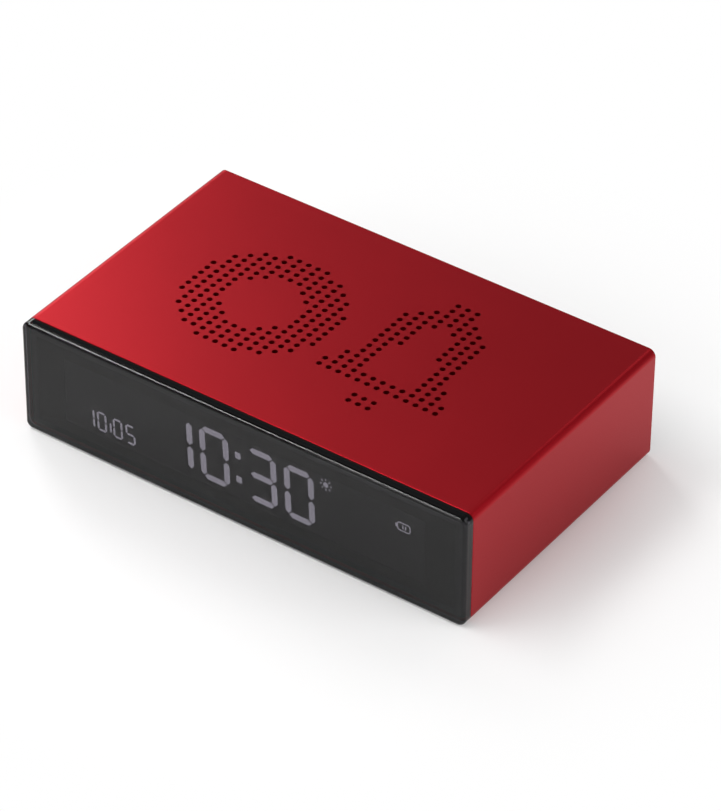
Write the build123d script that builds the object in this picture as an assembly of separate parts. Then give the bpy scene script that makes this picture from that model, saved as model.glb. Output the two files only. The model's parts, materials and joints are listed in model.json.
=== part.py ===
"""Flip-over travel alarm clock: an aluminium sleeve, a dark window in front and a keyed cover behind.

Millimetres. X runs along the width, -Y is the front, +Z is up. The origin is the centre of the base.
Either broad face can stand on the table: the sound holes mark which face turns the alarm off or on.
Inside the sleeve a tray and a lid carry the boards, the battery, the speaker and the flip sensor.
"""

import os
from math import hypot

from build123d import *

# ---------------------------------------------------------------- driving sizes
width = 118.0
height = 29.0
sleeve_depth = 70.3
lens_proud = 2.7
corner_radius = 1.8
wall = 1.2
end_chamfer = 0.25
slip = 0.15  # all round, between the sleeve and what slides into it
touch_gap = 0.1  # between pieces that sit beside each other without being joined

# Window and display
lens_edge_radius = 0.9
lens_thick = 2.0
lip_depth = 1.3  # of the lens, into the sleeve
lip_wall = 1.6
gasket_thick = 0.5
glass_width = 102.0
glass_height = 20.0
glass_thick = 2.2
film_thick = 0.2
view_border = 3.0  # of glass hidden behind the gasket on each side
guide_thick = 2.5
strip_height = 2.0
led_width = 1.2
led_height = 3.0
board_thick = 1.2

# Sound holes
hole_diameter = 1.35
hole_pitch_x = 2.54
hole_pitch_y = 2.31
mark_columns = 29
mark_rows = 19
mark_shift_x = -2.6
mark_shift_y = 2.2
ring_outer = 18.8
ring_inner = 9.0
ring_column = 7.0
ring_row = 7.5
bar_half_columns = 1.5
bell_column = 22.0
bell_half_columns = 6.2
dome_half_columns = 4.4
bell_stroke = 2.5  # in columns
rim_low_row = 3
rim_high_row = 4
dome_row = 12.0
bell_top_row = 18
clapper_half_columns = 1.1
cloth_thick = 0.4
cloth_margin = 3.0

# Tray and lid
floor_thick = 1.5
lid_thick = 1.4
rail_thick = 1.5
lid_drop = 0.2  # under the cloth
post_size = 6.0
post_length = 9.0
screw_diameter = 2.0
screw_slack = 0.1  # on the diameter
head_diameter = 3.6
head_thick = 1.2
head_gap = 0.2  # all round, between a head and its recess
blind = 1.0  # left beyond the end of a screw or of its hole
board_post_diameter = 5.0
board_edge_gap = 4.5  # from the rails to the main board
lid_post_rise = 2.0  # of the lid's posts above the main board
window_margin = 2.5  # round the sound opening in the floor

# Battery
battery_width = 34.0
battery_length = 44.0
battery_thick = 5.2
pad_thick = 0.4
fence_thick = 1.0
fence_height = 2.5
fence_gap = 0.4
lead_diameter = 1.2
lead_bend = 1.3
lead_pitch = 2.0

# Speaker
speaker_diameter = 40.0
speaker_depth = 4.5
speaker_wall = 0.8
speaker_flange = 3.0
magnet_diameter = 20.0
magnet_thick = 3.5
cone_thick = 0.3
speaker_gasket = 0.5
speaker_x = 13.0
speaker_y = 2.0

# Cover and keys
cover_recess = 1.0
cover_thick = 1.8
key_diameter = 5.6
key_proud = 0.8
key_gap = 0.2
key_flange = 1.0
key_flange_thick = 0.9
key_travel = 0.5
key_pitch = 10.5
key_inset = 11.0  # from the cover screws to the outer keys
key_boss_diameter = 4.0
key_round = 0.4
well_depth = 0.45  # of the shallow recess round each opening in the cover
well_margin = 0.9
mark_depth = 0.2
plunger_diameter = 1.8
plunger_length = 1.8
switch_size = 4.6
switch_thick = 2.2
lock_x = -13.0
lock_travel = 2.0
lock_length = 3.6
lock_height = 2.6
lock_foot = 1.1
lock_ridge = 0.4
lock_rest = 1.5  # of the switch's body past the track at each end
track_depth = 1.4

# Charging socket
usb_width = 8.94
usb_height = 3.26
usb_length = 7.35
usb_wall = 0.3
usb_tongue_width = 6.7
usb_tongue_thick = 0.7
usb_tongue_length = 5.2
usb_tab = 14.0
usb_heel = 1.0

# Flip sensor
can_diameter = 6.0
can_height = 6.2
can_wall = 0.4
sensor_x = 38.0
sensor_y = 8.0
ball_diameter = 3.2
ball_travel = 1.4
base_thick = 0.8

# Parts on the main board: x, y, width, length and height of each chip, then the capacitors and the crystal
clock_chip_size = (-6, -10, 10, 10, 1.5)
power_chip_sizes = [(6, 19, 5, 4, 1.2), (-14, 8, 6, 5, 1.4), (32, -10, 4, 4, 1.2)]
capacitor_diameter = 3.2
capacitor_height = 4.0
capacitor_places = [(-20, -12), (-24, -12), (24, 19), (29, 19)]
crystal_diameter = 3.0
crystal_length = 8.0
crystal_x = 10.0
crystal_y = -13.0

# Battery plug
socket_width = 7.0
socket_length = 5.0
socket_height = 3.6
socket_wall = 0.6
socket_inset = 1.5  # from the battery's rear end

# Flat cables and touch spring
flex_width = 12.0
flex_thick = 0.3
flex_bend = 1.2
flex_x = 22.0
flex_rise = 4.0
key_flex_width = 7.2
key_flex_x = -14.0
spring_width = 3.0
spring_thick = 0.3
spring_rise = 4.0  # above the middle of the clock

# ---------------------------------------------------------------- places worked out from the sizes
overall_depth = sleeve_depth + lens_proud
y_face = -overall_depth / 2
y_sleeve = y_face + lens_proud
y_rear = y_sleeve + sleeve_depth
y_middle = (y_sleeve + y_rear) / 2
z_middle = height / 2
inner_width = width - 2 * wall
inner_height = height - 2 * wall
inner_radius = corner_radius - wall
fitted_width = inner_width - 2 * slip
fitted_height = inner_height - 2 * slip
fitted_x = fitted_width / 2

y_lip = y_sleeve + lip_depth
y_pocket = y_face + lens_thick
y_glass = y_pocket + gasket_thick
y_guide = y_glass + glass_thick + film_thick
y_reflector = y_guide + guide_thick
y_display = y_reflector + film_thick
y_wall = y_display + board_thick
y_inside = y_wall + floor_thick
y_cover = y_rear - cover_recess
y_cover_inner = y_cover - cover_thick
y_key_base = y_cover_inner - touch_gap - key_flange_thick
y_switch = y_key_base - key_travel - 2 * touch_gap
y_key_board = y_switch - switch_thick
y_key_front = y_key_board - board_thick

pocket_width = fitted_width - 2 * lip_wall
pocket_height = fitted_height - 2 * lip_wall
glass_x = glass_width / 2
glass_low = z_middle - glass_height / 2
glass_high = z_middle + glass_height / 2
guide_low = glass_low + strip_height + 2 * touch_gap + film_thick
guide_x = glass_x - led_width - 4 * touch_gap

z_floor = wall + cloth_thick + lid_drop
z_floor_top = z_floor + floor_thick
z_lid_top = height - wall - cloth_thick - lid_drop
z_lid = z_lid_top - lid_thick
z_board_top = z_middle - usb_height / 2
z_board = z_board_top - board_thick
z_lid_post = z_board_top + lid_post_rise

post_x = fitted_x - post_size / 2
post_z_low = z_floor_top + post_size / 2 - floor_thick
post_z_high = z_lid - post_size / 2
y_post = y_cover_inner - post_length
y_board_front = y_inside + board_edge_gap
y_board_rear = y_key_front - head_thick - 4 * touch_gap
board_x = fitted_x - rail_thick - board_edge_gap
board_post_x = board_x - board_post_diameter / 2
board_post_front = y_board_front + board_post_diameter / 2
board_post_rear = y_board_rear - board_post_diameter / 2
pilot_diameter = screw_diameter + screw_slack

battery_left = -board_post_x + board_post_diameter / 2 + fence_thick + 2 * fence_gap
battery_x = battery_left + battery_width / 2
battery_y = (board_post_front + board_post_rear) / 2 - lead_bend
z_battery = z_floor_top + pad_thick
battery_rear = battery_y + battery_length / 2

z_speaker = z_lid - speaker_gasket
z_lead = z_board_top + socket_height / 2
z_ball = z_board_top + base_thick + touch_gap + ball_diameter / 2
outer_key = post_x - key_inset
key_places = {
    "alarm": -outer_key,
    "time": -outer_key + key_pitch,
    "minus": outer_key - key_pitch,
    "plus": outer_key,
}


# ---------------------------------------------------------------- helpers
def block(x0, x1, y0, y1, z0, z1):
    """A box between two corners."""
    return Pos((x0 + x1) / 2, (y0 + y1) / 2, (z0 + z1) / 2) * Box(x1 - x0, y1 - y0, z1 - z0)


def across(x, z, y):
    """A plane at depth y, facing the back, with its origin at x and z."""
    return Plane(origin=(x, y, z), x_dir=(1, 0, 0), z_dir=(0, 1, 0))


def slab(wide, high, radius, y0, y1, z=None):
    """A rounded rectangle seen from the front, from depth y0 to y1."""
    sketch = across(0, z_middle if z is None else z, y0) * RectangleRounded(wide, high, radius)
    return extrude(sketch, y1 - y0)


def rod(x, z, diameter, y0, y1):
    """A round bar along Y."""
    return extrude(across(x, z, y0) * Circle(diameter / 2), y1 - y0)


def post(x, y, diameter, z0, z1):
    """A round bar along Z."""
    return Pos(x, y, (z0 + z1) / 2) * Cylinder(diameter / 2, z1 - z0)


def one(shape):
    """A shape made of one piece, as its solid."""
    return shape.solids()[0]


def screw(length):
    """A cross-head screw with its head's underside at the origin and its thread along -Z."""
    head = Pos(0, 0, head_thick / 2) * Cylinder(head_diameter / 2, head_thick)
    head = fillet(head.edges().group_by(Axis.Z)[-1], head_thick / 3)
    shank = Pos(0, 0, -length / 2) * Cylinder(screw_diameter / 2, length)
    slot_long, slot_wide, slot_deep = head_diameter * 0.55, head_diameter * 0.15, head_thick * 0.6
    cut = Pos(0, 0, head_thick - slot_deep / 2) * Box(slot_long, slot_wide, slot_deep)
    return head + shank - cut - Rot(0, 0, 90) * cut


def screws(places, length, turn=Rot(0, 0, 0)):
    """One screw at each place, as separate solids."""
    made = screw(length)
    return Compound([one(Pos(*place) * turn * made) for place in places])


def tube(points, radius, diameter):
    """A round wire along straight runs joined by arcs."""
    path = FilletPolyline(*points, radius=radius)
    return sweep(Plane(origin=path @ 0, z_dir=path % 0) * Circle(diameter / 2), path=path)


def ribbon(points, radius, wide):
    """A flat cable, as wide along X, along straight runs joined by arcs."""
    path = FilletPolyline(*points, radius=radius)
    section = Plane(origin=path @ 0, x_dir=(1, 0, 0), z_dir=path % 0) * Rectangle(wide, flex_thick)
    return sweep(section, path=path)


# ---------------------------------------------------------------- sound holes
def in_bell(column, row, inset=0.0):
    """True inside a bell's outline: a flared body with a dome above it, drawn in by inset columns."""
    across_columns = abs(column - bell_column)
    flare = max(0.0, (dome_row - row) / (dome_row - rim_high_row)) ** 2
    half = dome_half_columns + flare * (bell_half_columns - dome_half_columns - 0.4) - inset
    if row > dome_row:
        rise = (row - dome_row) * hole_pitch_y / hole_pitch_x
        return hypot(across_columns, rise) <= half
    return row > rim_high_row and across_columns <= half


def in_bell_sign(column, row):
    """True on the bell: the outline's band, the rim under it, the knob above it and the clapper below it."""
    across_columns = abs(column - bell_column)
    band = in_bell(column, row) and not in_bell(column, row, bell_stroke)
    rim = rim_low_row <= row <= rim_high_row and across_columns <= bell_half_columns
    knob = dome_row < row <= bell_top_row and across_columns <= clapper_half_columns
    knob = knob and not in_bell(column, row, bell_stroke)
    clapper = row < rim_low_row - 1 and across_columns <= clapper_half_columns
    return band or rim or knob or clapper


def in_ring(column, row):
    """True on the ring, the usual sign for off."""
    distance = hypot((column - ring_column) * hole_pitch_x, (row - ring_row) * hole_pitch_y)
    return ring_inner <= distance <= ring_outer


def in_bar(column, row):
    """True on the upright bar, the usual sign for on."""
    return abs(column - ring_column) <= bar_half_columns and abs(row - ring_row) <= ring_row


def mark_places(sign):
    """Centres of the holes that draw a sign and the alarm bell, as seen from above."""
    places = []
    for column in range(mark_columns):
        for row in range(mark_rows):
            if in_bell_sign(column, row) or sign(column, row):
                x = (column - (mark_columns - 1) / 2) * hole_pitch_x + mark_shift_x
                y = (row - (mark_rows - 1) / 2) * hole_pitch_y + mark_shift_y
                places.append((x, y_middle + y))
    return places


def hole_pins(places, z0, z1):
    """Round pins that cut one face's sound holes."""
    pin = Cylinder(hole_diameter / 2, z1 - z0)
    return [Pos(x, y, (z0 + z1) / 2) * pin for x, y in places]


# ---------------------------------------------------------------- housing
def housing_sleeve():
    body = slab(width, height, corner_radius, y_sleeve, y_rear)
    ends = body.faces().sort_by(Axis.Y)
    body = chamfer(ends[0].edges() + ends[-1].edges(), end_chamfer)
    body -= slab(inner_width, inner_height, inner_radius, y_sleeve - 1, y_rear + 1)
    top = hole_pins(mark_places(in_ring), height - wall - 1, height + 1)
    bottom = hole_pins([(-x, y) for x, y in mark_places(in_bar)], -1, wall + 1)
    return one(body.cut(*top, *bottom))


def sound_cloth(places, z0):
    """A thin cloth glued inside the sleeve behind one face's holes."""
    xs = [x for x, _ in places]
    ys = [y for _, y in places]
    return block(
        min(xs) - cloth_margin, max(xs) + cloth_margin,
        min(ys) - cloth_margin, max(ys) + cloth_margin,
        z0, z0 + cloth_thick,
    )


def front_lens():
    plate = slab(width, height, corner_radius, y_face, y_sleeve)
    plate = fillet(plate.faces().sort_by(Axis.Y)[0].edges(), lens_edge_radius)
    plate += slab(fitted_width, fitted_height, inner_radius, y_sleeve, y_lip)
    return plate - slab(pocket_width, pocket_height, inner_radius, y_pocket, y_lip + 1)


def back_cover():
    """The cover, with a shallow well round each opening and two bosses for the key board."""
    cover = slab(fitted_width, fitted_height, inner_radius, y_cover_inner, y_cover)
    y_well = y_cover - well_depth
    for x in key_places.values():
        hole = key_diameter + 2 * key_gap
        cover -= rod(x, z_middle, hole, y_cover_inner - 1, y_cover + 1)
        cover -= rod(x, z_middle, hole + 2 * well_margin, y_well, y_cover + 1)
    cover -= usb_outline(0, 2 * touch_gap, y_cover_inner - 1, y_cover + 1)
    cover -= usb_outline(0, 2 * touch_gap + well_margin, y_well, y_cover + 1)
    slot_long = lock_length + lock_travel + 2 * key_gap
    slot_high = lock_height + 2 * key_gap
    for grow, y0 in ((0, y_cover_inner - 1), (well_margin, y_well)):
        outline = RectangleRounded(slot_long + 2 * grow, slot_high + 2 * grow, key_round + grow)
        cover -= extrude(across(lock_x + lock_travel / 2, z_middle, y0) * outline, y_cover + 1 - y0)
    for x, z in cover_screw_places():
        cover -= rod(x, z, pilot_diameter, y_cover_inner - 1, y_cover + 1)
        cover -= rod(x, z, head_diameter + 2 * head_gap, y_cover - head_thick, y_cover + 1)
    for x in key_screw_places():
        cover += rod(x, z_middle, key_boss_diameter, y_key_board, y_cover_inner)
        cover -= rod(x, z_middle, pilot_diameter, y_key_board - 1, y_cover_inner)
    return cover


def cover_screw_places():
    return [(x, z) for x in (-post_x, post_x) for z in (post_z_low, post_z_high)]


def key_screw_places():
    reach = key_diameter / 2 + key_flange + key_boss_diameter / 2 + 2 * key_gap
    inner = outer_key - key_pitch - reach
    return (-inner, inner)


def cover_screws():
    places = [(x, y_cover - head_thick, z) for x, z in cover_screw_places()]
    return screws(places, cover_thick - head_thick + post_length - 2 * blind, Rot(-90, 0, 0))


# ---------------------------------------------------------------- display
def pane(wide, low, high, y0, y1):
    return block(-wide / 2, wide / 2, y0, y1, low, high)


def lens_gasket():
    outer = slab(pocket_width - 2 * slip, pocket_height - 2 * slip, inner_radius, y_pocket, y_glass)
    return outer - pane(
        glass_width - 2 * view_border, glass_low + view_border / 2, glass_high - view_border / 2,
        y_pocket - 1, y_glass + 1,
    )


def front_frame():
    frame = slab(pocket_width - 2 * slip, pocket_height - 2 * slip, inner_radius, y_glass, y_display)
    frame += slab(fitted_width, fitted_height, inner_radius, y_lip + touch_gap, y_display)
    frame -= pane(
        glass_width + 2 * touch_gap, glass_low - touch_gap, glass_high + touch_gap,
        y_glass - 1, y_display + 1,
    )
    for x, z in display_screw_places():
        frame -= rod(x, z, pilot_diameter, y_glass + blind, y_display + 1)
    return frame


def display_screw_places():
    """Beside the glass, in line with its edges, or nearer the middle where the lid or the floor needs it."""
    x = (glass_x + fitted_x) / 2
    room = min(z_lid - z_middle, z_middle - z_floor_top) - head_gap
    z = min(glass_height / 2, room) - head_diameter / 2
    return [(side * x, z_middle + up * z) for side in (-1, 1) for up in (-1, 1)]


def lcd_front_film():
    return pane(
        glass_width - 2 * view_border - 2 * touch_gap,
        glass_low + view_border / 2 + touch_gap, glass_high - view_border / 2 - touch_gap,
        y_glass - film_thick, y_glass,
    )


def lcd_glass():
    return pane(glass_width, glass_low, glass_high, y_glass, y_glass + glass_thick)


def lcd_rear_film():
    return pane(2 * guide_x, guide_low, glass_high, y_guide - film_thick, y_guide)


def light_guide():
    return pane(2 * guide_x, guide_low, glass_high, y_guide, y_reflector)


def light_reflector():
    return pane(2 * guide_x, guide_low, glass_high, y_reflector, y_display)


def backlight_leds():
    leds = []
    for side in (-1, 1):
        for part in (0.3, 0.7):
            z = guide_low + part * (glass_high - guide_low)
            x = side * (guide_x + touch_gap + led_width / 2)
            led = block(
                x - led_width / 2, x + led_width / 2, y_guide, y_display,
                z - led_height / 2, z + led_height / 2,
            )
            leds.append(one(led))
    return Compound(leds)


def contact_strip():
    """The rubber strip that joins the glass to the display board."""
    return pane(
        glass_width - 4 * view_border, glass_low + touch_gap, glass_low + touch_gap + strip_height,
        y_glass + glass_thick, y_display,
    )


def display_board():
    board = slab(fitted_width - 2 * slip, fitted_height - 2 * slip, inner_radius, y_display, y_wall)
    for x, z in display_screw_places():
        board -= rod(x, z, pilot_diameter, y_display - 1, y_wall + 1)
    return board


def display_screws():
    places = [(x, y_inside, z) for x, z in display_screw_places()]
    return screws(places, y_inside - y_glass - 2 * blind, Rot(-90, 0, 0))


# ---------------------------------------------------------------- tray and lid
def chassis_tray():
    """Floor, front wall and two rails, with every post that something is screwed to."""
    tray = block(-fitted_x, fitted_x, y_wall, y_cover_inner, z_floor, z_floor_top)
    tray += block(-fitted_x, fitted_x, y_wall, y_inside, z_floor, z_lid)
    rail = fitted_x - rail_thick
    tray += block(rail, fitted_x, y_wall, y_cover_inner, z_floor, z_lid)
    tray += block(-fitted_x, -rail, y_wall, y_cover_inner, z_floor, z_lid)
    half = post_size / 2
    for x, z in cover_screw_places():
        tray += block(x - half, x + half, y_post, y_cover_inner, max(z - half, z_floor), min(z + half, z_lid))
        tray -= rod(x, z, pilot_diameter, y_post + blind, y_cover_inner + 1)
    for x, y in board_post_places():
        tray += post(x, y, board_post_diameter, z_floor_top, z_board)
        tray -= post(x, y, pilot_diameter, z_floor_top, z_board + 1)
    for x, y in lid_screw_places():
        tray += post(x, y, board_post_diameter, z_lid_post, z_lid) + lid_post_web(x, y)
        tray -= post(x, y, pilot_diameter, z_lid_post + blind, z_lid + 1)
    for x, z in display_screw_places():
        tray -= rod(x, z, pilot_diameter, y_wall - 1, y_inside + 1)
        tray -= rod(x, z, head_diameter + 2 * head_gap, y_inside, y_inside + head_thick + head_gap)
    cable = flex_width / 2 + head_gap
    tray -= block(
        flex_x - cable, flex_x + cable, y_wall - 1, y_inside + 1,
        z_board_top + flex_rise / 2, z_board_top + flex_rise + flex_bend,
    )
    z_spring = z_middle + 1.5 * spring_rise
    tray -= block(rail - 1, fitted_x + 1, -spring_width, spring_width, z_board_top, z_spring)
    return tray + battery_fence() - sound_window()


def battery_fence():
    """A low wall that holds the battery in place, open at the rear for its leads."""
    half_x, half_y = battery_width / 2 + fence_gap, battery_length / 2 + fence_gap
    inner = block(
        battery_x - half_x, battery_x + half_x, battery_y - half_y, battery_y + half_y,
        z_floor_top, z_floor_top + fence_height,
    )
    half_x += fence_thick
    half_y += fence_thick
    outer = block(
        battery_x - half_x, battery_x + half_x, battery_y - half_y, battery_y + half_y,
        z_floor_top, z_floor_top + fence_height,
    )
    gap = block(
        battery_x - 3 * lead_pitch, battery_x + 3 * lead_pitch, battery_y, battery_y + 2 * half_y,
        z_floor_top, z_floor_top + fence_height,
    )
    return outer - inner - gap


def sound_window():
    """The opening in the floor that lets sound out below, with a bar left across it."""
    x0 = battery_x + battery_width / 2 + fence_gap + fence_thick + window_margin
    x1 = board_post_x - board_post_diameter / 2 - window_margin
    y1 = battery_length / 2 - window_margin
    bar = block(x0 - 1, x1 + 1, -rail_thick / 2, rail_thick / 2, z_floor - 1, z_floor_top + 1)
    return block(x0, x1, -y1, y1, z_floor - 1, z_floor_top + 1) - bar


def board_post_places():
    return [(x, y) for x in (-board_post_x, board_post_x) for y in (board_post_front, board_post_rear)]


def lid_screw_places():
    x = fitted_x - rail_thick - board_post_diameter / 2
    y = (board_post_rear - board_post_front) / 4
    return [(side * x, back * y + battery_y) for side in (-1, 1) for back in (-1.6, 1.6)]


def lid_post_web(x, y):
    """Ties a lid post to its rail."""
    outer = fitted_x if x > 0 else -fitted_x
    return block(
        min(x, outer), max(x, outer), y - board_post_diameter / 2, y + board_post_diameter / 2,
        z_lid_post, z_lid,
    )


def chassis_lid():
    """The lid, with sunk screws and a round opening over the speaker that one bar crosses."""
    lid = block(-fitted_x, fitted_x, y_wall, y_cover_inner, z_lid, z_lid_top)
    for x, y in lid_screw_places():
        lid -= post(x, y, pilot_diameter, z_lid - 1, z_lid_top + 1)
        lid -= post(x, y, head_diameter + 2 * head_gap, z_lid_top - head_thick, z_lid_top + 1)
    lid -= post(speaker_x, speaker_y, speaker_diameter - 2 * speaker_flange, z_lid - 1, z_lid_top + 1)
    half = speaker_diameter / 2
    y0, y1 = speaker_y - rail_thick / 2, speaker_y + rail_thick / 2
    return lid + block(speaker_x - half, speaker_x + half, y0, y1, z_lid, z_lid_top)


def lid_screws():
    places = [(x, y, z_lid_top - head_thick) for x, y in lid_screw_places()]
    return screws(places, z_lid_top - head_thick - z_lid_post - 2 * blind)


# ---------------------------------------------------------------- main board
def main_board():
    """The board over the battery, with a tab for the charging socket and a notch for the battery's leads."""
    board = block(-board_x, board_x, y_board_front, y_board_rear, z_board, z_board_top)
    board += block(-usb_tab / 2, usb_tab / 2, y_board_rear, y_cover_inner - blind, z_board, z_board_top)
    board -= block(
        battery_x - 3 * lead_pitch, battery_x + 3 * lead_pitch, battery_rear + touch_gap, y_board_rear + 1,
        z_board - 1, z_board_top + 1,
    )
    for x, y in board_post_places():
        board -= post(x, y, pilot_diameter, z_board - 1, z_board_top + 1)
    return board


def board_screws():
    places = [(x, y, z_board_top) for x, y in board_post_places()]
    return screws(places, z_board_top - z_floor_top - blind)


def chip(x, y, wide, long, high):
    """A flat package that stands on the main board."""
    body = block(x - wide / 2, x + wide / 2, y - long / 2, y + long / 2, z_board_top, z_board_top + high)
    return one(chamfer(body.edges().group_by(Axis.Z)[-1], high / 5))


def clock_chip():
    return chip(*clock_chip_size)


def power_chips():
    return Compound([chip(*size) for size in power_chip_sizes])


def quartz_can():
    """The timekeeping crystal, a small metal can that lies on the board."""
    radius = crystal_diameter / 2
    can = Rot(0, 90, 0) * Cylinder(radius, crystal_length)
    return Pos(crystal_x, crystal_y, z_board_top + radius) * can


def capacitors():
    z1 = z_board_top + capacitor_height
    return Compound([one(post(x, y, capacitor_diameter, z_board_top, z1)) for x, y in capacitor_places])


# ---------------------------------------------------------------- flip sensor
def sensor_base():
    return post(sensor_x, sensor_y, can_diameter, z_board_top, z_board_top + base_thick)


def sensor_can():
    z0 = z_board_top + base_thick
    inner_top = z0 + 2 * touch_gap + ball_diameter + ball_travel
    can = post(sensor_x, sensor_y, can_diameter, z0, z_board_top + can_height)
    can = fillet(can.edges().group_by(Axis.Z)[-1], can_wall)
    return can - post(sensor_x, sensor_y, ball_diameter + 2 * key_gap, z0 - 1, inner_top)


def sensor_ball():
    return Pos(sensor_x, sensor_y, z_ball) * Sphere(ball_diameter / 2)


# ---------------------------------------------------------------- battery
def battery_cell():
    half_x, half_y = battery_width / 2, battery_length / 2
    cell = block(
        battery_x - half_x, battery_x + half_x, battery_y - half_y, battery_rear,
        z_battery, z_battery + battery_thick,
    )
    return fillet(cell.edges().filter_by(Axis.Y), battery_thick * 0.3)


def battery_pad():
    half_x, half_y = battery_width / 2 - 4, battery_length / 2 - 4
    return block(
        battery_x - half_x, battery_x + half_x, battery_y - half_y, battery_y + half_y,
        z_floor_top, z_battery,
    )


def battery_socket():
    """The open box on the main board that takes the battery's plug."""
    half, y1 = socket_width / 2, battery_rear - socket_inset
    y0, z1 = y1 - socket_length, z_board_top + socket_height
    body = block(battery_x - half, battery_x + half, y0, y1, z_board_top, z1)
    half -= socket_wall
    return body - block(
        battery_x - half, battery_x + half, y0 + socket_wall, y1 + 1,
        z_board_top + socket_wall, z1 - socket_wall,
    )


def battery_plug():
    grip = socket_wall + touch_gap
    half, y1 = socket_width / 2 - grip, battery_rear - socket_inset
    return block(
        battery_x - half, battery_x + half, y1 - socket_length + grip, y1 + socket_wall,
        z_board_top + grip, z_board_top + socket_height - grip,
    )


def battery_lead(side):
    """One wire from the battery's end, up past the board and into the plug."""
    x = battery_x + side * lead_pitch / 2
    y = battery_rear + lead_diameter / 2 + lead_bend
    z = z_battery + battery_thick / 2
    y_plug = battery_rear - socket_inset + socket_wall
    return tube(
        [(x, battery_rear, z), (x, y, z), (x, y, z_lead), (x, y_plug, z_lead)],
        lead_bend, lead_diameter,
    )


# ---------------------------------------------------------------- speaker
def speaker_ring():
    ring = post(speaker_x, speaker_y, speaker_diameter, z_speaker, z_lid)
    return ring - post(speaker_x, speaker_y, speaker_diameter - 2 * speaker_flange, z_speaker - 1, z_lid + 1)


def turned(points):
    """A round part made by turning a closed outline, given as radius and height, about the speaker's axis."""
    outline = make_face(Plane.XZ * Polyline(*points, close=True))
    return Pos(speaker_x, speaker_y, 0) * revolve(outline, Axis.Z)


def speaker_basket():
    outer, inner, low = speaker_diameter / 2, magnet_diameter / 2, z_speaker - speaker_depth
    top = z_speaker - cone_thick
    return turned([
        (inner / 2, low), (inner + 2, low), (outer - speaker_flange, top - speaker_wall),
        (outer, top - speaker_wall), (outer, top), (outer - speaker_flange - 1, top),
        (inner + 1, low + speaker_wall), (inner / 2, low + speaker_wall),
    ])


def speaker_cone():
    """The thin driven cone: a dust cap in the middle, a raised roll near the edge and a rim on the basket."""
    outer = speaker_diameter / 2
    edge = outer - speaker_flange - 1
    low = z_speaker - speaker_depth + speaker_wall + 0.6
    rim = z_speaker - cone_thick
    under = [
        (0, low + 1.5), (3, low + 1.2), (5, low + 0.3), (6, low), (edge - 3, rim - 0.8),
        (edge - 2.2, rim + 0.3), (edge - 1, rim + 0.5), (edge, rim), (outer - 0.5, rim),
    ]
    return turned(under + [(x, z + cone_thick) for x, z in reversed(under)])


def speaker_magnet():
    low = z_speaker - speaker_depth
    magnet = post(speaker_x, speaker_y, magnet_diameter, low - magnet_thick, low)
    return chamfer(magnet.edges().group_by(Axis.Z)[0], 0.4)


def speaker_leads():
    made = []
    for side in (-1, 1):
        x = speaker_x - magnet_diameter / 2 - 4
        y = speaker_y + side * lead_pitch
        z = z_speaker - speaker_depth - 0.6
        made.append(one(tube(
            [(speaker_x - magnet_diameter / 2, y, z), (x, y, z), (x, y, z_board_top)],
            lead_bend, lead_diameter * 0.7,
        )))
    return Compound(made)


# ---------------------------------------------------------------- flat cables and touch spring
def display_flex():
    """The flat cable from the display board to the main board."""
    z, y = z_board_top + flex_rise, y_board_front + 2 * flex_bend
    return ribbon([(flex_x, y_wall, z), (flex_x, y, z), (flex_x, y, z_board_top)], flex_bend, flex_width)


def key_flex():
    """The flat cable from the key board to the main board."""
    z, y = z_board_top + flex_rise, y_board_rear - 2 * flex_bend
    points = [(key_flex_x, y_key_front, z), (key_flex_x, y, z), (key_flex_x, y, z_board_top)]
    return ribbon(points, flex_bend, key_flex_width)


def touch_spring():
    """The contact that makes the metal sleeve itself the touch sensor."""
    x0, x1 = board_x - board_edge_gap, inner_width / 2 - spring_thick / 2
    z0, z1 = z_board_top + spring_thick / 2, z_middle + spring_rise
    points = [(x0, 0, z0), (board_x - 1, 0, z0), (x1, 0, (z_middle + z1) / 2), (x1, 0, z1)]
    path = FilletPolyline(*points, radius=flex_bend / 2)
    section = Plane(origin=path @ 0, x_dir=(0, 1, 0), z_dir=path % 0) * Rectangle(spring_width, spring_thick)
    return sweep(section, path=path)


# ---------------------------------------------------------------- keys
def key_board():
    half_x = outer_key + switch_size / 2 + blind
    half_z = switch_size / 2 + 4 * blind
    board = block(-half_x, half_x, y_key_front, y_key_board, z_middle - half_z, z_middle + half_z)
    notch = usb_tab / 2 + head_gap
    z1 = z_middle + usb_height / 2 + head_gap
    board -= block(-notch, notch, y_key_front - 1, y_key_board + 1, z_board - head_gap, z1)
    for x in key_screw_places():
        board -= rod(x, z_middle, pilot_diameter, y_key_front - 1, y_key_board + 1)
    return board


def key_screws():
    places = [(x, y_key_front, z_middle) for x in key_screw_places()]
    return screws(places, y_cover_inner - y_key_front - blind / 2, Rot(90, 0, 0))


def key_switches():
    half = switch_size / 2
    made = []
    for x in key_places.values():
        body = block(x - half, x + half, y_key_board, y_switch, z_middle - half, z_middle + half)
        hole_floor = y_key_base - plunger_length - key_travel - 2 * touch_gap
        made.append(one(body - rod(x, z_middle, plunger_diameter + 2 * key_gap, hole_floor, y_switch + 1)))
    return Compound(made)


def key_plunger(x):
    return rod(x, z_middle, plunger_diameter, y_key_base - plunger_length, y_key_base)


def key_mark(name, x):
    """The shape sunk into one key: plus, minus, a ring for the time or a bell for the alarm."""
    plane = across(x, z_middle, y_cover + key_proud - mark_depth)
    long, thin = key_diameter * 0.5, key_diameter * 0.12
    if name == "minus":
        mark = Rectangle(long, thin)
    elif name == "plus":
        mark = Rectangle(long, thin) + Rectangle(thin, long)
    elif name == "time":
        mark = Circle(long / 2) - Circle(long / 2 - thin)
    else:
        mark = Circle(long * 0.35) + Pos(0, long * 0.15) * Rectangle(long * 0.7, long * 0.3)
        mark += Pos(0, long * 0.35) * Rectangle(long, thin)
    return extrude(plane * mark, mark_depth * 2)


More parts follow.
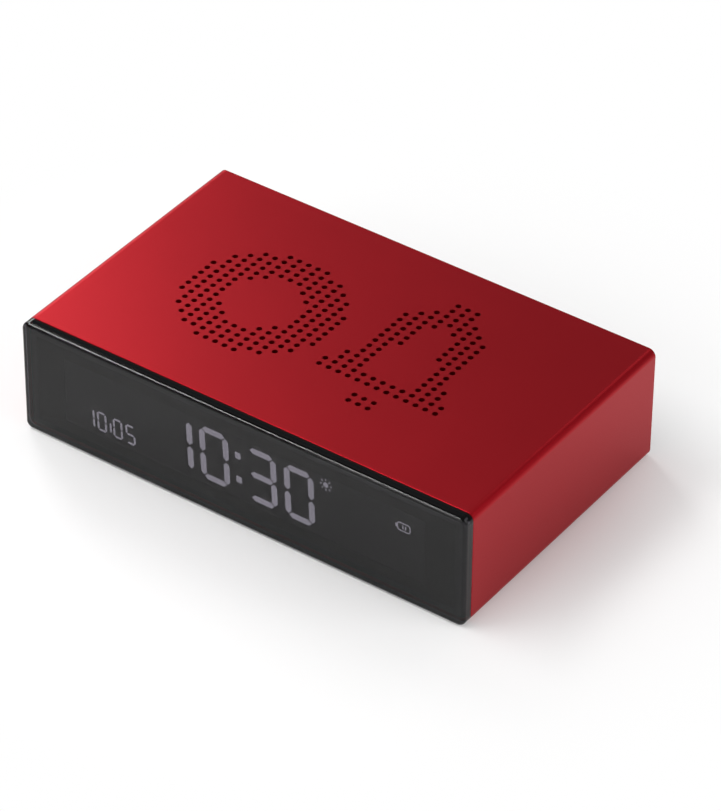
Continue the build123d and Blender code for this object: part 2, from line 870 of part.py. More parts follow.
def key_cap(name, x):
    cap = rod(x, z_middle, key_diameter, y_key_base, y_cover + key_proud)
    cap = fillet(cap.edges().group_by(Axis.Y)[-1], key_round)
    cap += rod(x, z_middle, key_diameter + 2 * key_flange, y_key_base, y_key_base + key_flange_thick)
    return one(cap - key_mark(name, x))


def lock_switch():
    """The slide switch behind the lock: a box open at the back for its stem."""
    foot = lock_foot / 2 + key_gap
    x0, x1 = lock_x - foot, lock_x + lock_travel + foot
    body = block(
        x0 - lock_rest, x1 + lock_rest, y_key_board, y_switch,
        z_middle - lock_height, z_middle + lock_height,
    )
    return body - block(x0, x1, y_switch - track_depth, y_switch + 1, z_middle - foot, z_middle + foot)


def lock_slider():
    """The thumb piece, with grip ridges outside and a stem that reaches into the switch."""
    half_x, half_z, foot = lock_length / 2, lock_height / 2, lock_foot / 2
    y_top = y_cover + key_proud / 2
    thumb = block(lock_x - half_x, lock_x + half_x, y_key_base, y_top, z_middle - half_z, z_middle + half_z)
    thumb = fillet(thumb.edges().group_by(Axis.Y)[-1], key_round / 2)
    for step in (-1, 0, 1):
        x = lock_x + step * lock_length / 4
        thumb -= block(x - lock_ridge / 2, x + lock_ridge / 2, y_top - lock_ridge / 2, y_top + 1, 0, height)
    half_x += key_flange
    half_z += key_flange
    thumb += block(
        lock_x - half_x, lock_x + half_x, y_key_base, y_key_base + key_flange_thick,
        z_middle - half_z, z_middle + half_z,
    )
    y_stem = y_switch - track_depth + 2 * key_gap
    thumb += block(lock_x - foot, lock_x + foot, y_stem, y_key_base, z_middle - foot, z_middle + foot)
    return one(thumb)


# ---------------------------------------------------------------- charging socket
def usb_outline(inset, grow, y0, y1):
    """The socket's rounded outline, made smaller by inset or larger by grow."""
    high = usb_height - 2 * inset + 2 * grow
    sketch = across(0, z_middle, y0) * SlotOverall(usb_width - 2 * inset + 2 * grow, high)
    return extrude(sketch, y1 - y0)


def usb_shell():
    y1 = y_cover - touch_gap
    y0 = y1 - usb_length
    return usb_outline(0, 0, y0, y1) - usb_outline(usb_wall, 0, y0 + usb_wall, y1 + 1)


def usb_tongue():
    y0 = y_cover - touch_gap - usb_length + usb_wall
    tongue = block(
        -usb_tongue_width / 2, usb_tongue_width / 2, y0, y0 + usb_tongue_length,
        z_middle - usb_tongue_thick / 2, z_middle + usb_tongue_thick / 2,
    )
    return tongue + usb_outline(usb_wall + touch_gap, 0, y0, y0 + usb_heel)


# ---------------------------------------------------------------- every node
def make_nodes():
    top_places = mark_places(in_ring)
    bottom_places = [(-x, y) for x, y in mark_places(in_bar)]
    nodes = {
        "housing_sleeve": housing_sleeve(),
        "sound_cloth_top": sound_cloth(top_places, height - wall - cloth_thick),
        "sound_cloth_bottom": sound_cloth(bottom_places, wall),
        "front_lens": front_lens(),
        "lens_gasket": lens_gasket(),
        "front_frame": front_frame(),
        "lcd_front_film": lcd_front_film(),
        "lcd_glass": lcd_glass(),
        "lcd_rear_film": lcd_rear_film(),
        "light_guide": light_guide(),
        "light_reflector": light_reflector(),
        "backlight_leds": backlight_leds(),
        "contact_strip": contact_strip(),
        "display_board": display_board(),
        "display_screws": display_screws(),
        "chassis_tray": chassis_tray(),
        "chassis_lid": chassis_lid(),
        "lid_screws": lid_screws(),
        "main_board": main_board(),
        "board_screws": board_screws(),
        "clock_chip": clock_chip(),
        "power_chips": power_chips(),
        "quartz_can": quartz_can(),
        "capacitors": capacitors(),
        "sensor_base": sensor_base(),
        "sensor_can": sensor_can(),
        "sensor_ball": sensor_ball(),
        "battery_cell": battery_cell(),
        "battery_pad": battery_pad(),
        "battery_socket": battery_socket(),
        "battery_plug": battery_plug(),
        "battery_lead_red": battery_lead(-1),
        "battery_lead_black": battery_lead(1),
        "speaker_ring": speaker_ring(),
        "speaker_basket": speaker_basket(),
        "speaker_cone": speaker_cone(),
        "speaker_magnet": speaker_magnet(),
        "speaker_leads": speaker_leads(),
        "display_flex": display_flex(),
        "key_flex": key_flex(),
        "touch_spring": touch_spring(),
        "key_board": key_board(),
        "key_screws": key_screws(),
        "key_switches": key_switches(),
        "lock_switch": lock_switch(),
        "lock_slider": lock_slider(),
        "back_cover": back_cover(),
        "cover_screws": cover_screws(),
        "usb_shell": usb_shell(),
        "usb_tongue": usb_tongue(),
    }
    for name, x in key_places.items():
        nodes[name + "_key"] = key_cap(name, x)
        nodes[name + "_plunger"] = key_plunger(x)
    return nodes


os.makedirs("parts", exist_ok=True)
for node_name, shape in make_nodes().items():
    export_step(shape, f"parts/{node_name}.step")
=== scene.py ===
import json
import math

import bpy
from mathutils import Matrix, Vector


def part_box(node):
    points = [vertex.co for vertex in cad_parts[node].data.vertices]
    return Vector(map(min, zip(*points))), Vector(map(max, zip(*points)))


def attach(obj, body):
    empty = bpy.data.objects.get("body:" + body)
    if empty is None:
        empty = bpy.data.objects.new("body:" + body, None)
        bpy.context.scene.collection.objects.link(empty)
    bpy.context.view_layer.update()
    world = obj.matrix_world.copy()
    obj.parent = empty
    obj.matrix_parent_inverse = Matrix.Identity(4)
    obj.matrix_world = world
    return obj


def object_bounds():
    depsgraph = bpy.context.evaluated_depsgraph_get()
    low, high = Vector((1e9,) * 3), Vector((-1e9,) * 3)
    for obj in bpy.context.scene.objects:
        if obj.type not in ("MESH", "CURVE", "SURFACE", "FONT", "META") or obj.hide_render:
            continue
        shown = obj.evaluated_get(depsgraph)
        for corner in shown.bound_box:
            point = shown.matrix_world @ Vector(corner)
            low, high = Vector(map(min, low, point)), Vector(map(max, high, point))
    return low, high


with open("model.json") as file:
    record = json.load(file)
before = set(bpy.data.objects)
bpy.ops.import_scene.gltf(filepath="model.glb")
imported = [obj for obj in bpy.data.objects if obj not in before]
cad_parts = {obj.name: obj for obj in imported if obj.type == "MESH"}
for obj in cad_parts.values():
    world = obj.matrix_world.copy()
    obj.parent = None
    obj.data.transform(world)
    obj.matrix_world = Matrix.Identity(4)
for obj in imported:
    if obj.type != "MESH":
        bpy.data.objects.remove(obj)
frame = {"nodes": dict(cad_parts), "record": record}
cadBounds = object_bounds()
parts = frame["nodes"]
mm = 0.001
print("frame loaded:", len(parts), "parts")


def linear(hexColour):
    # sRGB hex to the linear values the shaders work in
    made = []
    for i in (0, 2, 4):
        c = int(hexColour[i:i + 2], 16) / 255
        made.append(c / 12.92 if c <= 0.04045 else ((c + 0.055) / 1.055) ** 2.4)
    return (*made, 1.0)


def addNode(tree, kind, inputs=None, stops=None, **settings):
    # one node with its settings, its colour stops and its values or links
    made = tree.nodes.new(kind)
    for name, value in settings.items():
        setattr(made, name, value)
    for i, (place, colour) in enumerate(stops or []):
        ramp = made.color_ramp.elements
        stop = ramp[i] if i < 2 else ramp.new(place)
        stop.position = place
        stop.color = colour
    for name, value in (inputs or {}).items():
        if isinstance(value, bpy.types.NodeSocket):
            tree.links.new(value, made.inputs[name])
        else:
            made.inputs[name].default_value = value
    return made


def startMaterial(name, colour, roughness, metallic=0.0, ior=1.5):
    # a named material, its tree, its shader and the part's own coordinates
    material = bpy.data.materials.new(name)
    material.use_nodes = True
    tree = material.node_tree
    shader = tree.nodes["Principled BSDF"]
    shader.inputs["Base Color"].default_value = linear(colour)
    shader.inputs["Roughness"].default_value = roughness
    shader.inputs["Metallic"].default_value = metallic
    shader.inputs["IOR"].default_value = ior
    coords = addNode(tree, "ShaderNodeTexCoord").outputs["Object"]
    return material, tree, shader, coords


def perMetre(sizeMm):
    # texture scale for a feature of that real size
    return 1 / (sizeMm * mm)


def shade(tree, value, low, high, at=(0.3, 0.7)):
    # turns a pattern value into a blend between two colours or two grey levels
    first = linear(low) if isinstance(low, str) else (low, low, low, 1)
    second = linear(high) if isinstance(high, str) else (high, high, high, 1)
    stops = [(at[0], first), (at[1], second)]
    return addNode(tree, "ShaderNodeValToRGB", {"Fac": value}, stops).outputs["Color"]


def grain(tree, coords, sizeMm, detail=3.0, stretch=(1, 1, 1)):
    # a noise of that grain size, drawn out along an axis where stretch is under 1
    placed = addNode(tree, "ShaderNodeMapping", {"Vector": coords, "Scale": stretch}).outputs["Vector"]
    inputs = {"Vector": placed, "Scale": perMetre(sizeMm), "Detail": detail}
    return addNode(tree, "ShaderNodeTexNoise", inputs).outputs["Fac"]


def bump(tree, shader, value, depthMm, strength=1.0):
    inputs = {"Height": value, "Distance": depthMm * mm, "Strength": strength}
    made = addNode(tree, "ShaderNodeBump", inputs)
    tree.links.new(made.outputs["Normal"], shader.inputs["Normal"])


def darkened(colour, share):
    # the same hex colour with each channel cut to a share of itself
    return "".join(f"{int(int(colour[i:i + 2], 16) * share):02x}" for i in (0, 2, 4))


anodised = {
    "red": "ad1420",
    "deep": "a8121e",
    "roughness": (0.39, 0.45),
    "coat": 0.06,  # the clear sealed oxide over the dye, which pales grazing reflections
    "coatRoughness": 0.3,
    "coatIor": 1.6,
    "blastGrain": 0.22,  # real glass-bead pits are about 0.08 mm, drawn coarser to show
    "pitDepth": 0.006,
    "pitStrength": 0.35,
    "cloudSize": 40.0,
}


def redAnodisedAluminium():
    # extruded, bead blasted and dyed red: a satin sheen that spreads reflections wide
    made, tree, shader, coords = startMaterial("redAnodisedAluminium", anodised["red"], 0.4, 1.0)
    clouds = grain(tree, coords, anodised["cloudSize"], 2.0)
    tree.links.new(shade(tree, clouds, anodised["deep"], anodised["red"]), shader.inputs["Base Color"])
    pits = grain(tree, coords, anodised["blastGrain"], 2.0)
    tree.links.new(shade(tree, pits, *anodised["roughness"]), shader.inputs["Roughness"])
    shader.inputs["Coat Weight"].default_value = anodised["coat"]
    shader.inputs["Coat Roughness"].default_value = anodised["coatRoughness"]
    shader.inputs["Coat IOR"].default_value = anodised["coatIor"]
    bump(tree, shader, pits, anodised["pitDepth"], anodised["pitStrength"])
    return made


smoked = {
    "tint": "454349",
    "ior": 1.36,  # set under acrylic's 1.49, so that the face mirrors the pale floor less
    "roughness": (0.02, 0.04),
    "wearSize": 25.0,
}


def smokedAcrylic():
    # cast acrylic, smoked grey and polished: dark, mirror smooth, the display shows through
    made, tree, shader, coords = startMaterial("smokedAcrylic", smoked["tint"], 0.03, 0.0, smoked["ior"])
    shader.inputs["Transmission Weight"].default_value = 1.0
    wear = grain(tree, coords, smoked["wearSize"], 2.0)
    tree.links.new(shade(tree, wear, *smoked["roughness"]), shader.inputs["Roughness"])
    return made


def mouldedPlastic(name, colour, roughness, grainMm, depthMm=0.02):
    # spark-eroded mould texture: fine dull grain, slightly uneven gloss
    made, tree, shader, coords = startMaterial(name, colour, roughness, 0.0, 1.53)
    fine = grain(tree, coords, grainMm)
    broad = grain(tree, coords, 14.0, 2.0)
    gloss = shade(tree, broad, roughness - 0.06, roughness + 0.06)
    tree.links.new(gloss, shader.inputs["Roughness"])
    tree.links.new(shade(tree, fine, darkened(colour, 0.86), colour), shader.inputs["Base Color"])
    bump(tree, shader, fine, depthMm, 0.6)
    return made


def metalStock(name, colour, roughness, grainMm, stretch=(1, 1, 1)):
    # rolled or plated metal: fine lines along the rolling direction break up the shine
    made, tree, shader, coords = startMaterial(name, colour, roughness, 1.0)
    lines = grain(tree, coords, grainMm, 4.0, stretch)
    tree.links.new(shade(tree, lines, roughness - 0.08, roughness + 0.1), shader.inputs["Roughness"])
    tree.links.new(shade(tree, lines, darkened(colour, 0.82), colour), shader.inputs["Base Color"])
    bump(tree, shader, lines, 0.004, 0.4)
    return made


def wovenCloth(name, colour, lighter, threadMm=0.35):
    # plain weave: crossing threads, dull with a slight sheen
    made, tree, shader, coords = startMaterial(name, colour, 0.85)
    shader.inputs["Sheen Weight"].default_value = 0.3
    # a wave node's phase runs 20 times its scale
    crossing = {"Vector": coords, "Scale": 2 * math.pi / (threadMm * 2) / 20 / mm}
    warp = addNode(tree, "ShaderNodeTexWave", crossing, bands_direction="X").outputs["Fac"]
    weft = addNode(tree, "ShaderNodeTexWave", crossing, bands_direction="Y").outputs["Fac"]
    weave = addNode(tree, "ShaderNodeMath", {0: warp, 1: weft}, operation="MULTIPLY").outputs[0]
    tree.links.new(shade(tree, weave, colour, lighter, (0.1, 0.8)), shader.inputs["Base Color"])
    bump(tree, shader, weave, 0.1, 0.8)
    return made


def solderMask():
    # fibreglass board: green lacquer over copper traces, pale where traces run under it
    made, tree, shader, coords = startMaterial("solderMask", "0e4a2a", 0.35, 0.0, 1.52)
    cells = {"Vector": coords, "Scale": perMetre(3.2), "Randomness": 0.55}
    pads = addNode(tree, "ShaderNodeTexVoronoi", cells, feature="F1", distance="CHEBYCHEV")
    traces = pads.outputs["Distance"]
    lines = addNode(tree, "ShaderNodeMath", {0: traces, 1: 6.0}, operation="MULTIPLY").outputs[0]
    saw = addNode(tree, "ShaderNodeMath", {0: lines, 1: 1.0}, operation="PINGPONG").outputs[0]
    tree.links.new(shade(tree, saw, "0a3c22", "1c6a3e", (0.55, 0.65)), shader.inputs["Base Color"])
    bump(tree, shader, saw, 0.02, 0.5)
    return made


def keyPlastic(engravedY):
    # black ABS keys, with pale paint wiped into the sunk marks
    made, tree, shader, coords = startMaterial("keyAbs", "1b1b1d", 0.42, 0.0, 1.53)
    fine = grain(tree, coords, 0.25)
    depth = addNode(tree, "ShaderNodeSeparateXYZ", {"Vector": coords}).outputs["Y"]
    level = {0: depth, 1: engravedY, 2: 0.03 * mm}
    near = addNode(tree, "ShaderNodeMath", level, operation="COMPARE").outputs[0]
    facing = addNode(tree, "ShaderNodeNewGeometry").outputs["Normal"]
    outward = addNode(tree, "ShaderNodeSeparateXYZ", {"Vector": facing}).outputs["Y"]
    flat = addNode(tree, "ShaderNodeMath", {0: outward, 1: 0.95}, operation="GREATER_THAN").outputs[0]
    paint = addNode(tree, "ShaderNodeMath", {0: near, 1: flat}, operation="MULTIPLY").outputs[0]
    tree.links.new(shade(tree, paint, "1b1b1d", "c9c9c4", (0.4, 0.6)), shader.inputs["Base Color"])
    bump(tree, shader, fine, 0.015, 0.5)
    return made


def clearPlastic(name, colour, roughness, ior=1.49):
    # cast or drawn clear plastic with faint flow clouds
    made, tree, shader, coords = startMaterial(name, colour, roughness, 0.0, ior)
    shader.inputs["Transmission Weight"].default_value = 1.0
    clouds = shade(tree, grain(tree, coords, 6.0), roughness, roughness + 0.05)
    tree.links.new(clouds, shader.inputs["Roughness"])
    return made


def displayBlack():
    # a negative display between polarisers: almost black, with a faint violet cast
    made, tree, shader, coords = startMaterial("displayBlack", "0c0b0d", 0.3, 0.0, 1.5)
    clouds = grain(tree, coords, 30.0, 1.0)
    tree.links.new(shade(tree, clouds, "09090b", "100e11"), shader.inputs["Base Color"])
    return made


def litSegment():
    # the display's open segments: their grey glow is painted light, standing in for the backlight behind
    # them, which has no lamp of its own
    made, tree, shader, coords = startMaterial("litSegment", "8f8d92", 0.5)
    # painted light: the segments glow by themselves, a little unevenly across the display
    glow = grain(tree, coords, 12.0, 1.0)
    shader.inputs["Emission Strength"].default_value = 4.6
    tree.links.new(shade(tree, glow, "cfcecf", "dad8da"), shader.inputs["Emission Color"])
    return made


def stripedRubber():
    # the contact strip: layers of black conducting and pink plain silicone
    made, tree, shader, coords = startMaterial("stripedSilicone", "c08a90", 0.6)
    along = addNode(tree, "ShaderNodeSeparateXYZ", {"Vector": coords}).outputs["X"]
    layers = addNode(tree, "ShaderNodeMath", {0: along, 1: perMetre(0.25)}, operation="MULTIPLY").outputs[0]
    saw = addNode(tree, "ShaderNodeMath", {0: layers, 1: 1.0}, operation="PINGPONG").outputs[0]
    tree.links.new(shade(tree, saw, "1a1718", "b98a8e", (0.45, 0.55)), shader.inputs["Base Color"])
    bump(tree, shader, saw, 0.02, 0.5)
    return made


def printedCan(name, colour):
    # a drawn metal can: smooth sides with shallow draw lines
    return metalStock(name, colour, 0.28, 0.3, (1, 1, 0.1))


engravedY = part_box("plus_key")[1].y - 0.2 * mm
blackAbs = mouldedPlastic("blackAbs", "1d1d1f", 0.5, 0.3)
darkNylon = mouldedPlastic("darkNylon", "26262a", 0.45, 0.35)
whiteNylon = mouldedPlastic("whiteNylon", "ddd8c8", 0.5, 0.4)
moulding = mouldedPlastic("epoxyMoulding", "1c1c1e", 0.55, 0.12)
foam = mouldedPlastic("closedCellFoam", "161617", 0.9, 0.5, 0.15)
redPvc = mouldedPlastic("redPvc", "a3161a", 0.35, 0.6)
blackPvc = mouldedPlastic("blackPvc", "1a1a1b", 0.35, 0.6)
keyAbs = keyPlastic(engravedY)
blackSteel = metalStock("blackZincSteel", "3c3c40", 0.34, 0.15)
tinCan = printedCan("tinnedCan", "b9bbbd")
meshCloth = wovenCloth("blackMeshCloth", "120d0e", "2a2022")
paleFoil = metalStock("pouchFoil", "b6bac0", 0.33, 1.2)
finishes = {
    "red_sleeve": redAnodisedAluminium(),
    "sound_cloth": meshCloth,
    "smoked_window": smokedAcrylic(),
    "black_foam": foam,
    "black_frame": blackAbs,
    "display_film": displayBlack(),
    "display_glass": clearPlastic("displayGlass", "dfe6e4", 0.02, 1.52),
    "clear_guide": clearPlastic("clearAcrylic", "eef2f4", 0.05),
    "white_reflector": mouldedPlastic("whiteFilm", "ecebe6", 0.6, 0.2),
    "led_white": mouldedPlastic("ledPackage", "e9e2b8", 0.35, 0.4),
    "contact_rubber": stripedRubber(),
    "green_board": solderMask(),
    "black_screw": blackSteel,
    "chip_black": moulding,
    "bright_can": tinCan,
    "switch_body": darkNylon,
    "steel_ball": metalStock("bearingSteel", "c9cbcd", 0.16, 0.3),
    "battery_foil": paleFoil,
    "battery_tape": mouldedPlastic("foamTape", "d6d3c9", 0.85, 0.5, 0.1),
    "white_plug": whiteNylon,
    "red_wire": redPvc,
    "black_wire": blackPvc,
    "speaker_frame": metalStock("enamelledSteel", "34343a", 0.4, 0.4),
    "speaker_paper": mouldedPlastic("pressedPaper", "2a2927", 0.8, 0.25, 0.05),
    "magnet_steel": metalStock("zincPlate", "8e9196", 0.35, 0.3),
    "speaker_wire": redPvc,
    "flat_cable": mouldedPlastic("polyimide", "b5702a", 0.3, 0.5, 0.01),
    "spring_metal": metalStock("phosphorBronze", "c79a5a", 0.3, 0.2, (1, 0.1, 1)),
    "black_cover": blackAbs,
    "key_black": keyAbs,
    "socket_steel": metalStock("platedShell", "a9abae", 0.28, 0.25, (1, 0.1, 1)),
    "socket_tongue": darkNylon,
}
for entry in frame["record"]["subparts"]:
    mesh = parts[entry["node"]].data
    mesh.materials.clear()
    mesh.materials.append(finishes[entry["material_slot"]])


def startBlock(name, size, place):
    # a block at its size and place, with everything else deselected and its place in its mesh
    bpy.ops.object.select_all(action="DESELECT")
    bpy.ops.mesh.primitive_cube_add(size=1, location=place, scale=size)
    made = bpy.context.object
    made.name = name
    bpy.ops.object.transform_apply(location=True, rotation=True, scale=True)
    return made


def bevelEdges(made, test, width, steps=1):
    # bevels the edges whose two ends pass the test
    bpy.ops.object.mode_set(mode="EDIT")
    bpy.ops.mesh.select_mode(type="EDGE")
    bpy.ops.mesh.select_all(action="DESELECT")
    bpy.ops.object.mode_set(mode="OBJECT")
    corners = made.data.vertices
    for edge in made.data.edges:
        a, b = (corners[i].co for i in edge.vertices)
        edge.select = test(a, b)
    bpy.ops.object.mode_set(mode="EDIT")
    bpy.ops.mesh.bevel(offset=width, offset_type="OFFSET", segments=steps, affect="EDGES")
    bpy.ops.object.mode_set(mode="OBJECT")


def runsDeep(a, b):
    # true for an edge along Y, the thickness of a display mark
    return abs(a.x - b.x) < 1e-7 and abs(a.z - b.z) < 1e-7


def copyOf(model, matrix):
    # a copy with its own mesh, placed in the mesh
    made = model.copy()
    made.data = model.data.copy()
    made.data.transform(matrix)
    bpy.context.scene.collection.objects.link(made)
    return made


def joinAs(name, pieces, material, body="clock"):
    # one piece out of several, finished and riding on its body
    bpy.ops.object.select_all(action="DESELECT")
    for piece in pieces:
        piece.select_set(True)
    bpy.context.view_layer.objects.active = pieces[0]
    if len(pieces) > 1:
        bpy.ops.object.join()
    made = bpy.context.object
    made.name = name
    made.data.name = name
    made.data.materials.clear()
    made.data.materials.append(material)
    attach(made, body)
    return made


segmentMaterial = litSegment()
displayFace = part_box("lcd_front_film")[0].y
midHeight = (cadBounds[0].z + cadBounds[1].z) / 2
display = {
    "thick": 0.06,
    "lift": 0.02,  # of the segments off the film
    "slant": -0.045,  # sideways lean for each unit of height
    "tipShare": 0.47,  # of the stroke, cut off each corner of a bar to point its ends
    "overlap": 0.12,  # of the stroke, added to a bar's length
    "dot": {"wide": 1.45, "high": 1.7, "round": 0.15, "rise": 3.2},
    "divider": {"stretch": 1.25, "drop": 0.5},
    "time": {"text": "10:30", "height": 14.2, "width": 7.8, "stroke": 1.5, "gap": 0.34,
             "rightEdges": [-13.2, -3.4, -0.9, 9.3, 19.2], "middle": 0.0},
    "date": {"text": "10|05", "height": 5.2, "width": 2.6, "stroke": 0.5, "gap": 0.14,
             "rightEdges": [-40.2, -36.9, -35.8, -32.5, -29.0], "middle": -4.65},
}
# segments lit for each figure, named by where they lie
figures = {
    "0": ("top", "upperLeft", "upperRight", "lowerLeft", "lowerRight", "bottom"),
    "1": ("upperRight", "lowerRight"),
    "3": ("top", "upperRight", "middle", "lowerRight", "bottom"),
    "5": ("top", "upperLeft", "middle", "lowerRight", "bottom"),
}


def segmentBar(length, stroke):
    # a bar with pointed ends, along X, at the origin
    made = startBlock("segment", (length * mm, display["thick"] * mm, stroke * mm), (0, 0, 0))
    bevelEdges(made, runsDeep, stroke * display["tipShare"] * mm)
    return made


def figureBars(text, lay):
    # the lit bars of one line of figures
    halfWide = (lay["width"] - lay["stroke"]) / 2
    cell = (lay["height"] - lay["stroke"]) / 2
    trim = lay["stroke"] * display["overlap"] - 2 * lay["gap"]
    across = segmentBar(2 * halfWide + trim, lay["stroke"])
    upright = segmentBar(cell + trim, lay["stroke"])
    dot, divider = display["dot"], display["divider"]
    quarter = Matrix.Rotation(math.pi / 2, 4, "Y")
    places = {
        "top": (0, cell), "middle": (0, 0), "bottom": (0, -cell),
        "upperLeft": (-halfWide, cell / 2), "upperRight": (halfWide, cell / 2),
        "lowerLeft": (-halfWide, -cell / 2), "lowerRight": (halfWide, -cell / 2),
    }
    made = []
    for figure, rightEdge in zip(text, lay["rightEdges"]):
        centre = rightEdge - lay["width"] / 2
        for name in figures.get(figure, ()):
            x, z = places[name]
            model = across if name in ("top", "middle", "bottom") else upright
            turn = quarter if model is upright else Matrix.Identity(4)
            place = Matrix.Translation(((centre + x) * mm, 0, z * mm))
            made.append(copyOf(model, place @ turn))
        if figure == ":":
            size = (dot["wide"] * mm, display["thick"] * mm, dot["high"] * mm)
            for z in (dot["rise"], -dot["rise"]):
                block = startBlock("dot", size, (rightEdge * mm, 0, z * mm))
                bevelEdges(block, runsDeep, dot["round"] * mm)
                made.append(block)
        if figure == "|":
            stretch = Matrix.Scale(divider["stretch"], 4, Vector((0, 0, 1)))
            place = Matrix.Translation((rightEdge * mm, 0, -divider["drop"] * mm))
            made.append(copyOf(upright, place @ stretch @ quarter))
    for model in (across, upright):
        bpy.data.objects.remove(model)
    return made


def setOnDisplay(name, pieces, middle):
    # leans the figures, puts them on the display's face and joins them
    made = joinAs(name, pieces, segmentMaterial)
    lean = Matrix(((1, 0, display["slant"], 0), (0, 1, 0, 0), (0, 0, 1, 0), (0, 0, 0, 1)))
    height = midHeight + middle * mm
    depth = displayFace - (display["lift"] + display["thick"] / 2) * mm
    made.data.transform(Matrix.Translation((0, depth, height)) @ lean)
    return made


def batteryMark(x, z):
    # a battery's outline with two bars of charge and its terminal
    icon = {"wide": 3.5, "high": 2.3, "line": 0.26, "bar": 0.3}
    thick = display["thick"] * mm
    pieces = []
    shell = startBlock("shell", (icon["wide"] * mm, thick, icon["high"] * mm), (x * mm, 0, z * mm))
    bevelEdges(shell, runsDeep, 0.7 * mm, 3)
    bpy.ops.object.mode_set(mode="EDIT")
    bpy.ops.mesh.select_mode(type="FACE")
    bpy.ops.mesh.select_all(action="DESELECT")
    bpy.ops.object.mode_set(mode="OBJECT")
    for face in shell.data.polygons:
        face.select = abs(face.normal.y) > 0.9
    bpy.ops.object.mode_set(mode="EDIT")
    bpy.ops.mesh.inset(thickness=icon["line"] * mm)
    bpy.ops.mesh.bridge_edge_loops()
    bpy.ops.object.mode_set(mode="OBJECT")
    pieces.append(shell)
    for step in (-0.4, 0.75):
        place = ((x + step * 0.62) * mm, 0, z * mm)
        pieces.append(startBlock("bar", (icon["bar"] * mm, thick, 1.0 * mm), place))
    place = ((x - icon["wide"] / 2 - 0.2) * mm, 0, z * mm)
    pieces.append(startBlock("terminal", (0.35 * mm, thick, 0.9 * mm), place))
    return pieces


def morningMark(x, z):
    # a small sun, for the first half of the day
    thick = display["thick"] * mm
    bpy.ops.object.select_all(action="DESELECT")
    bpy.ops.mesh.primitive_cylinder_add(vertices=24, radius=0.66 * mm, depth=thick,
                                        location=(x * mm, 0, z * mm), rotation=(math.pi / 2, 0, 0))
    disc = bpy.context.object
    bpy.ops.object.transform_apply(location=True, rotation=True, scale=True)
    pieces = [disc]
    for i in range(8):
        turn = Matrix.Rotation(i * math.pi / 4, 4, "Y")
        ray = startBlock("ray", (0.56 * mm, thick, 0.27 * mm), (1.34 * mm, 0, 0))
        ray.data.transform(Matrix.Translation((x * mm, 0, z * mm)) @ turn)
        pieces.append(ray)
    return pieces


for name in ("time", "date"):
    lay = display[name]
    setOnDisplay(name + "Figures", figureBars(lay["text"], lay), lay["middle"])
setOnDisplay("batteryMark", batteryMark(42.4, 0), 4.1)
setOnDisplay("morningMark", morningMark(22.2, 0), 6.1)
print("display lit")


socket = {"contacts": 12, "pitch": 0.5, "wide": 0.28, "long": 4.0, "thick": 0.04}


def socketContacts():
    # gilt contacts on both faces of the tongue
    low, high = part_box("usb_tongue")
    middle = (low.z + high.z) / 2
    pieces = []
    for side in (-1, 1):
        for i in range(socket["contacts"]):
            x = (i - (socket["contacts"] - 1) / 2) * socket["pitch"] * mm
            y = high.y - socket["long"] / 2 * mm - 0.3 * mm
            z = middle + side * (0.35 + socket["thick"] / 2) * mm
            size = (socket["wide"] * mm, socket["long"] * mm, socket["thick"] * mm)
            pieces.append(startBlock("contact", size, (x, y, z)))
    gilt = metalStock("giltContact", "d8b36a", 0.25, 0.2)
    made = joinAs("socketContacts", pieces, gilt)
    return made


socketContacts()
print("socket contacts placed")


room = {
    "floorSize": 6.0,
    "floorColour": "fbfafa",
    "nearFloor": 0.045,  # the floor's own light and shade show out to here, in metres
    "farFloor": 0.125,
    "boxes": {
        "overheadBox": {"place": (-0.27, -0.16, 0.46), "size": (0.42, 0.11), "power": 1.75},
        "frontBox": {"place": (-0.10, -0.60, 0.34), "size": (0.40, 0.30), "power": 1.1},
        "leftCard": {"place": (-0.50, 0.30, 0.40), "size": (0.20, 0.30), "power": 1.2},
        "backCard": {"place": (0.02, 0.50, 0.46), "size": (0.20, 0.20), "power": 0.2},
        "rightCard": {"place": (0.48, 0.05, 0.36), "size": (0.40, 0.40), "power": 1.1},
    },
}


def paleFloor():
    # matt white sweep
    bpy.ops.object.select_all(action="DESELECT")
    bpy.ops.mesh.primitive_plane_add(size=room["floorSize"], location=(0, 0, -0.0001))
    floor = bpy.context.object
    floor.name = "floor"
    material = bpy.data.materials.new("whiteCard")
    material.use_nodes = True
    tree = material.node_tree
    shader = tree.nodes["Principled BSDF"]
    output = tree.nodes["Material Output"]
    shader.inputs["Base Color"].default_value = linear(room["floorColour"])
    shader.inputs["Roughness"].default_value = 0.9
    coords = addNode(tree, "ShaderNodeTexCoord").outputs["Object"]
    reach = addNode(tree, "ShaderNodeVectorMath", {0: coords}, operation="LENGTH").outputs["Value"]
    span = {"Value": reach, "From Min": room["nearFloor"], "From Max": room["farFloor"]}
    away = addNode(tree, "ShaderNodeMapRange", span, interpolation_type="SMOOTHSTEP")
    path = addNode(tree, "ShaderNodeLightPath").outputs
    rays = {0: path["Is Camera Ray"], 1: path["Is Glossy Ray"]}
    shown = addNode(tree, "ShaderNodeMath", rays, operation="ADD").outputs[0]
    rays = {0: shown, 1: path["Is Transmission Ray"]}
    seen = addNode(tree, "ShaderNodeMath", rays, operation="ADD", use_clamp=True)
    share = addNode(tree, "ShaderNodeMath", {0: seen.outputs[0], 1: away.outputs[0]}, operation="MULTIPLY")
    glow = addNode(tree, "ShaderNodeEmission", {"Color": (1, 1, 1, 1), "Strength": 1.0})
    mix = addNode(tree, "ShaderNodeMixShader",
                  {0: share.outputs[0], 1: shader.outputs[0], 2: glow.outputs[0]})
    tree.links.new(mix.outputs[0], output.inputs["Surface"])
    floor.data.materials.append(material)


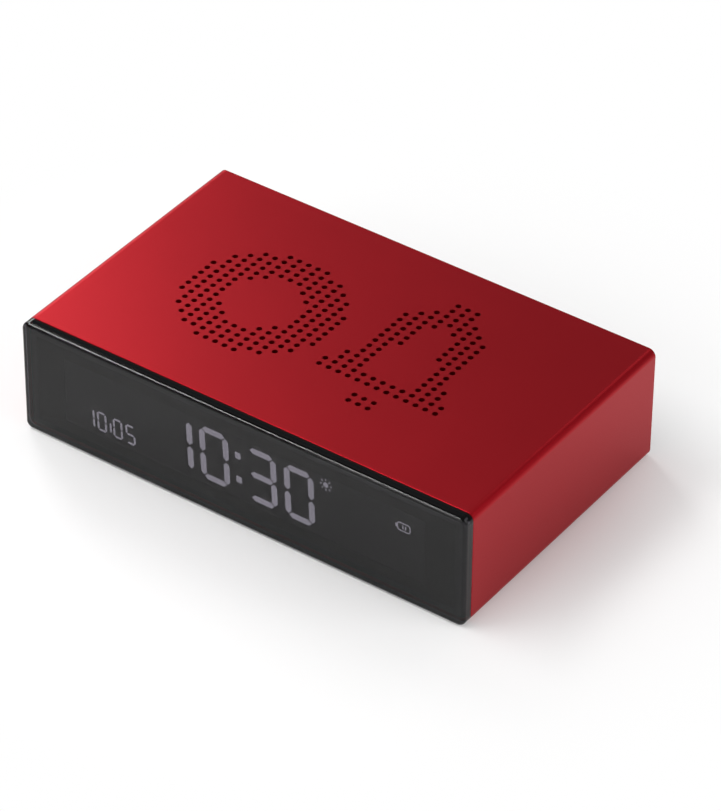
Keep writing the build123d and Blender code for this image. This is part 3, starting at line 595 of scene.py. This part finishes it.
def softbox(name, place, size, power):
    # a soft rectangular lamp turned to the clock's middle
    lamp = bpy.data.lights.new(name, "AREA")
    lamp.shape = "RECTANGLE"
    lamp.size, lamp.size_y = size
    lamp.energy = power
    made = bpy.data.objects.new(name, lamp)
    made.location = place
    toClock = Vector((0, 0, 0.015)) - Vector(place)
    made.rotation_euler = toClock.to_track_quat("-Z", "Y").to_euler()
    made.visible_camera = False
    bpy.context.scene.collection.objects.link(made)
    return made


def studioWorld():
    # even soft grey all round, a touch brighter near the floor
    world = bpy.data.worlds.new("studio")
    bpy.context.scene.world = world
    world.use_nodes = True
    tree = world.node_tree
    ground = tree.nodes["Background"]
    around = addNode(tree, "ShaderNodeTexCoord").outputs["Generated"]
    upward = addNode(tree, "ShaderNodeSeparateXYZ", {"Vector": around}).outputs["Z"]
    stops = [(0.0, (0.3, 0.3, 0.3, 1)), (0.3, (0.28, 0.28, 0.28, 1)), (0.5, (0.24, 0.24, 0.24, 1)),
             (1.0, (0.24, 0.24, 0.24, 1))]
    ramp = addNode(tree, "ShaderNodeValToRGB", {"Fac": upward}, stops)
    tree.links.new(ramp.outputs["Color"], ground.inputs["Color"])


view = {
    "azimuth": 35.167, "elevation": 37.732, "roll": 0.514,
    "place": (0.4636, -0.6491, 0.62705),
    "lens": 203.3,
}


def photoCamera():
    a, e, roll = (math.radians(view[k]) for k in ("azimuth", "elevation", "roll"))
    back = Vector((math.sin(a) * math.cos(e), -math.cos(a) * math.cos(e), math.sin(e)))
    right = Vector((math.cos(a), math.sin(a), 0))
    up = back.cross(right)
    rightRolled = right * math.cos(roll) + up * math.sin(roll)
    upRolled = up * math.cos(roll) - right * math.sin(roll)
    data = bpy.data.cameras.new("camera")
    data.lens = view["lens"]
    data.sensor_width = 36
    data.clip_start, data.clip_end = 0.05, 20
    camera = bpy.data.objects.new("camera", data)
    axes = Matrix((rightRolled, upRolled, back)).transposed().to_4x4()
    camera.matrix_world = Matrix.Translation(view["place"]) @ axes
    bpy.context.scene.collection.objects.link(camera)
    bpy.context.scene.camera = camera


paleFloor()
for name, box in room["boxes"].items():
    softbox(name, box["place"], box["size"], box["power"])
studioWorld()
photoCamera()
bpy.context.scene.view_settings.view_transform = "Standard"
print("floor, lamps and camera set")
